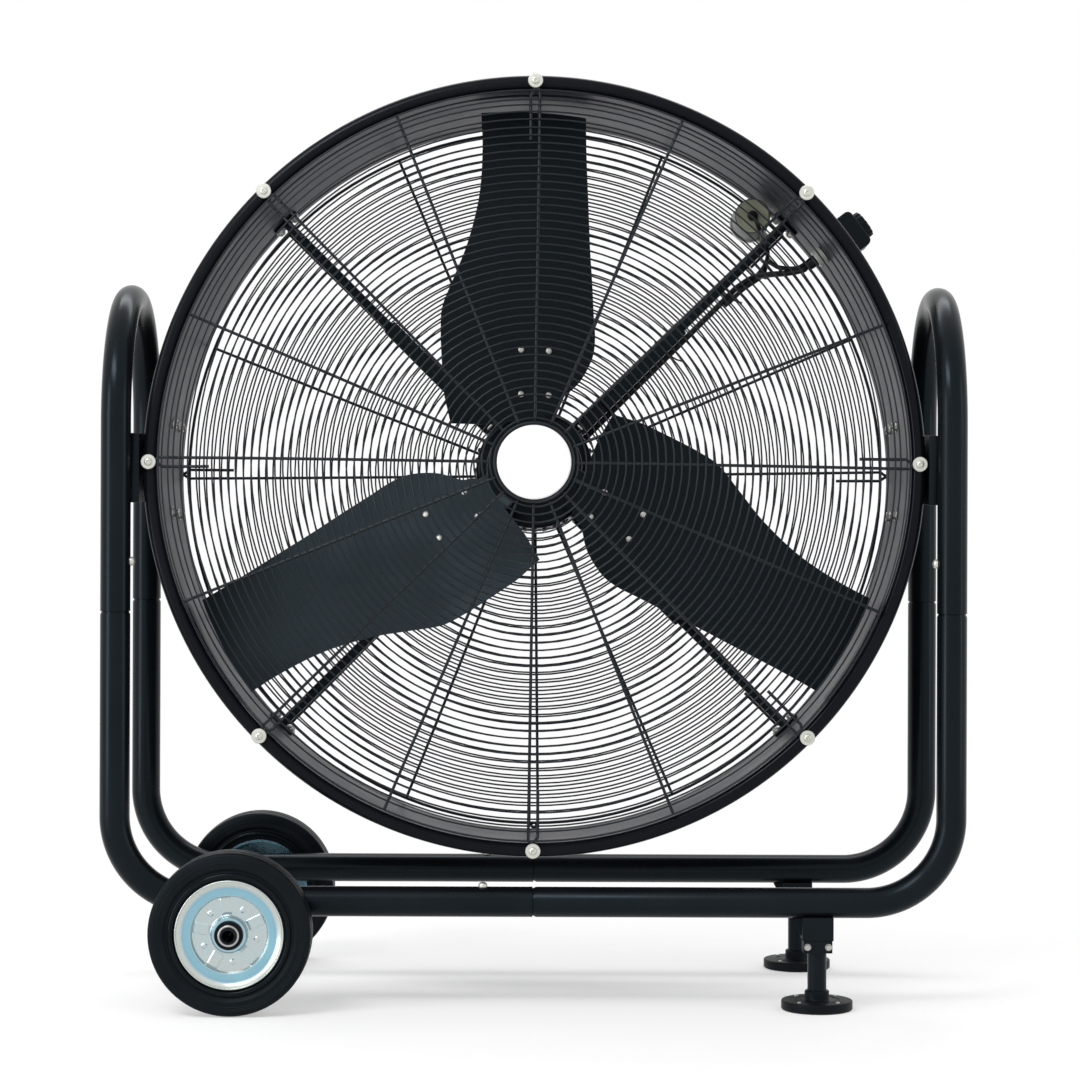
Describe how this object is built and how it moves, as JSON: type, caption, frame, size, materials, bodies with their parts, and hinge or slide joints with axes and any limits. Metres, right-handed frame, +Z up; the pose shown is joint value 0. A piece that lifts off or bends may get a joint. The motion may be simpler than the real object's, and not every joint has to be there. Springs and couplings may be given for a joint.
{
  "type": "drum fan",
  "caption": "Wheeled drum fan: a tilting round steel drum with a three-blade rotor behind wire guards, in a stand of bent black tube on wheels and disc feet.",
  "frame": {"origin": "on the floor, under the middle of the stand", "axes": "+Z up, +Y to the back (the air leaves towards -Y), +X to the right seen from the front; the wheels are on the -X side"},
  "size_m": [1.094, 0.5032, 1.1844],
  "materials": {
    "stand_paint": "satin black powder coat",
    "drum_paint": "satin grey-black paint on the drum's sheet",
    "guard_wire": "satin black coated wire",
    "blade_paint": "satin black painted sheet",
    "tyre_rubber": "matt black rubber with fine moulded rings",
    "zinc": "bright blue zinc plating",
    "plated_steel": "dull plated steel",
    "black_plastic": "moulded black plastic",
    "grey_plastic": "moulded grey plastic",
    "capacitor_plastic": "moulded grey-beige plastic",
    "white_plastic": "glossy white disc",
    "cable_jacket": "matt black cable jacket"
  },
  "bodies": {
    "stand": {"left_arch": "stand_paint", "right_arch": "stand_paint", "front_left_rail": "stand_paint", "front_right_rail": "stand_paint", "rear_left_rail": "stand_paint", "rear_right_rail": "stand_paint", "left_crossbar": "stand_paint", "right_crossbar": "stand_paint", "left_pivot_bolt": "plated_steel", "right_pivot_bolt": "plated_steel", "front_axle_bracket": "stand_paint", "rear_axle_bracket": "stand_paint", "wheel_axle": "stand_paint", "front_axle_washer": "plated_steel", "rear_axle_washer": "plated_steel", "front_foot_bracket": "stand_paint", "front_foot_clamp": "stand_paint", "front_foot_post": "stand_paint", "front_foot_base": "black_plastic", "rear_foot_bracket": "stand_paint", "rear_foot_clamp": "stand_paint", "rear_foot_post": "stand_paint", "rear_foot_base": "black_plastic"},
    "drum": {"drum_shell": "drum_paint", "left_pivot_plate": "stand_paint", "right_pivot_plate": "stand_paint", "front_guard": "guard_wire", "rear_guard": "guard_wire", "guard_screw_1": "plated_steel", "guard_screw_2": "plated_steel", "guard_screw_3": "plated_steel", "guard_screw_4": "plated_steel", "guard_screw_5": "plated_steel", "guard_screw_6": "plated_steel", "guard_screw_7": "plated_steel", "guard_screw_8": "plated_steel", "badge": "white_plastic", "upper_right_strut": "stand_paint", "upper_left_strut": "stand_paint", "lower_left_strut": "stand_paint", "lower_right_strut": "stand_paint", "motor": "stand_paint", "capacitor": "capacitor_plastic", "capacitor_clip": "plated_steel", "switch_box": "black_plastic", "cable_gland": "grey_plastic", "motor_cable": "cable_jacket"},
    "rotor": {"motor_shaft": "plated_steel", "rotor_hub": "stand_paint", "blade_1": "blade_paint", "blade_2": "blade_paint", "blade_3": "blade_paint"},
    "knob": {"switch_knob": "black_plastic"},
    "front_wheel": {"front_tyre": "tyre_rubber", "front_rim": "zinc", "front_wheel_bushing": "black_plastic"},
    "rear_wheel": {"rear_tyre": "tyre_rubber", "rear_rim": "zinc", "rear_wheel_bushing": "black_plastic"}
  },
  "joints": [
    {"name": "drum_tilt", "type": "hinge", "parent": "stand", "child": "drum", "pos_m": [0, 0.041, 0.676], "axis": [1, 0, 0], "range_deg": [-86.6, 33.4]},
    {"name": "fan_spin", "type": "hinge", "parent": "drum", "child": "rotor", "pos_m": [0, 0.041, 0.676], "axis": [0, 0.9982, -0.0593], "continuous": true},
    {"name": "switch_turn", "type": "hinge", "parent": "drum", "child": "knob", "pos_m": [0.43126, 0.04031, 1.0016], "axis": [0.7986, 0.0357, 0.6008], "range_deg": [0, 90]},
    {"name": "front_wheel_spin", "type": "hinge", "parent": "stand", "child": "front_wheel", "pos_m": [-0.376, -0.2165, 0.102], "axis": [0, 1, 0], "continuous": true},
    {"name": "rear_wheel_spin", "type": "hinge", "parent": "stand", "child": "rear_wheel", "pos_m": [-0.376, 0.2165, 0.102], "axis": [0, 1, 0], "continuous": true}
  ]
}
